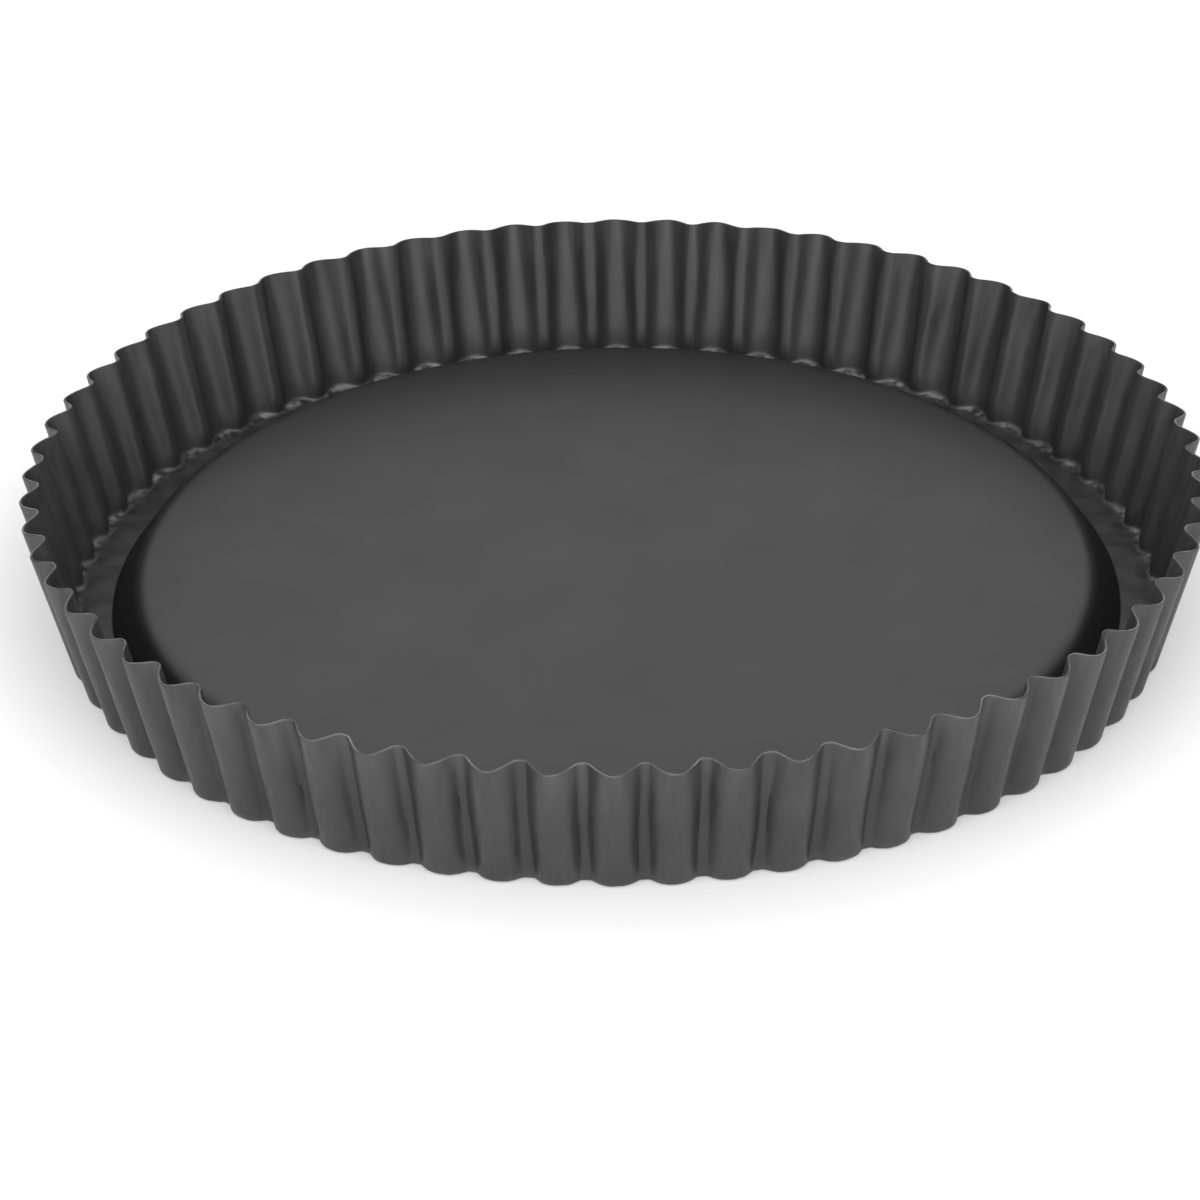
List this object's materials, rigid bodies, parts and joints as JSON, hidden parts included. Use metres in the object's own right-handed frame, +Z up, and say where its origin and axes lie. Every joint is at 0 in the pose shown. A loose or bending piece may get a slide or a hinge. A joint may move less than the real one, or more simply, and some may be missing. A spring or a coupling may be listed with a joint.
{
  "type": "flan pan",
  "caption": "Round fluted flan pan of coated steel with flared walls, a channel round the edge and a raised flat base that lifts out.",
  "frame": {"origin": "on the pan's axis, in the plane of the table that it stands on", "axes": "+Z up along the pan's axis, +X through the crest of a flute"},
  "size_m": [0.28, 0.28, 0.0345],
  "materials": {
    "nonstick_coat": "satin charcoal non-stick coat on sheet steel"
  },
  "bodies": {
    "ring": {"fluted_ring": "nonstick_coat"},
    "base": {"loose_base": "nonstick_coat"}
  },
  "joints": [
    {"name": "base_lift", "type": "slide", "parent": "ring", "child": "base", "axis": [0, 0, 1], "range_m": [0, 0.06]}
  ]
}
